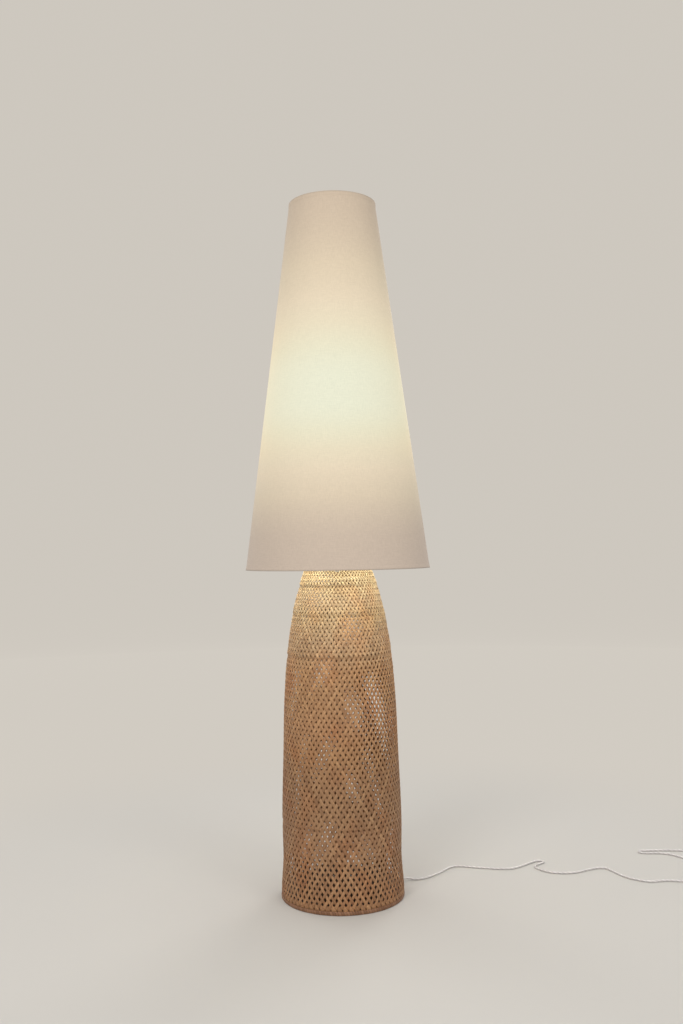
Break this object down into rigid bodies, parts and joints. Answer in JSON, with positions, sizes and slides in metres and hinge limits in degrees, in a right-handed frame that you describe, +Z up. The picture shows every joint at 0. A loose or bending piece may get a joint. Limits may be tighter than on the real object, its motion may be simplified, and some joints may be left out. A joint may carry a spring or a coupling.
{
  "type": "floor lamp",
  "caption": "Floor lamp: a woven rattan base, open and weighted at the foot, carries a tall conical linen shade over a screw-in bulb, with a clear mains cord, rocker switch and plug.",
  "frame": {"origin": "on the floor under the middle of the woven base", "axes": "+Z up along the tube, -Y towards the pictured front, +X to the right, where the cord runs"},
  "size_m": [1.0833, 0.4732, 1.5],
  "materials": {
    "rattan": "split rattan strands, lightly varnished, satin",
    "rim_cane": "reddish brown round-edged cane strip, satin",
    "hoop_cane": "round cane, bare",
    "black_paint": "black powder coat, fine texture",
    "bronze_paint": "satin bronze-brown lacquer",
    "cream_paint": "cream powder coat, satin",
    "ballast_iron": "cast iron, dark primer",
    "steel": "zinc plated steel",
    "ring_wire": "white lacquered steel wire",
    "rubber": "black rubber, matte",
    "linen": "plain woven linen, natural white",
    "liner_film": "translucent backing film, matte",
    "edge_tape": "folded linen tape",
    "brass": "brass, drawn",
    "black_plastic": "black moulded plastic, fine texture",
    "ceramic": "glazed ceramic, off white",
    "nickel": "nickel plated",
    "opal_glass": "opal glass, satin",
    "clear_flex": "clear plastic over tinned strands, silvery",
    "clear_plastic": "translucent moulded plastic"
  },
  "bodies": {
    "stand": {"woven_body": "rattan", "foot_hoop": "rim_cane", "lower_hoop": "hoop_cane", "upper_hoop": "hoop_cane", "foot_plate": "black_paint", "tube_flange": "black_paint", "centre_tube": "bronze_paint", "neck_spider": "cream_paint", "ballast_disc": "ballast_iron", "flange_screw_1": "steel", "flange_screw_2": "steel", "flange_screw_3": "steel", "spider_collar": "steel", "carrier_seat": "steel", "carrier_nut": "steel", "nipple": "steel", "rubber_foot_1": "rubber", "rubber_foot_2": "rubber", "rubber_foot_3": "rubber", "rubber_foot_4": "rubber", "tube_bush": "brass", "screw_shell": "brass", "centre_contact": "brass", "socket_cap": "black_plastic", "socket_body": "black_plastic", "coil_tie": "black_plastic", "socket_core": "ceramic", "plug_pin_1": "nickel", "plug_pin_2": "nickel", "inner_lead": "clear_flex", "tube_lead": "clear_flex", "cord_run": "clear_flex", "cord_far_run": "clear_flex", "cord_coil": "clear_flex", "cord_plug_lead": "clear_flex", "cord_gland": "clear_plastic", "plug_body": "clear_plastic", "switch_lower": "clear_plastic", "switch_upper": "clear_plastic"},
    "carrier": {"shade_carrier": "cream_paint"},
    "shade": {"shade_fabric": "linen", "shade_liner": "liner_film", "shade_bottom_ring": "ring_wire", "shade_top_ring": "ring_wire", "bottom_edge_tape": "edge_tape", "top_edge_tape": "edge_tape"},
    "bulb": {"bulb_tip": "nickel", "bulb_insulator": "black_plastic", "bulb_cap": "nickel", "bulb_glass": "opal_glass"},
    "rocker": {"switch_rocker": "black_plastic"}
  },
  "joints": [
    {"name": "shade_turn", "type": "hinge", "parent": "stand", "child": "carrier", "pos_m": [0, 0, 0.7053], "axis": [0, 0, 1], "continuous": true},
    {"name": "shade_lift", "type": "slide", "parent": "carrier", "child": "shade", "axis": [0, 0, 1], "range_m": [0, 0.42]},
    {"name": "bulb_unscrew", "type": "hinge", "parent": "stand", "child": "bulb", "pos_m": [0, 0, 0.9891], "axis": [0, 0, 1], "range_deg": [0, 1260]},
    {"name": "switch_rocker_tilt", "type": "hinge", "parent": "stand", "child": "rocker", "pos_m": [0.798, 0.044, 0.015], "axis": [0, 1, 0], "range_deg": [0, 16]}
  ]
}
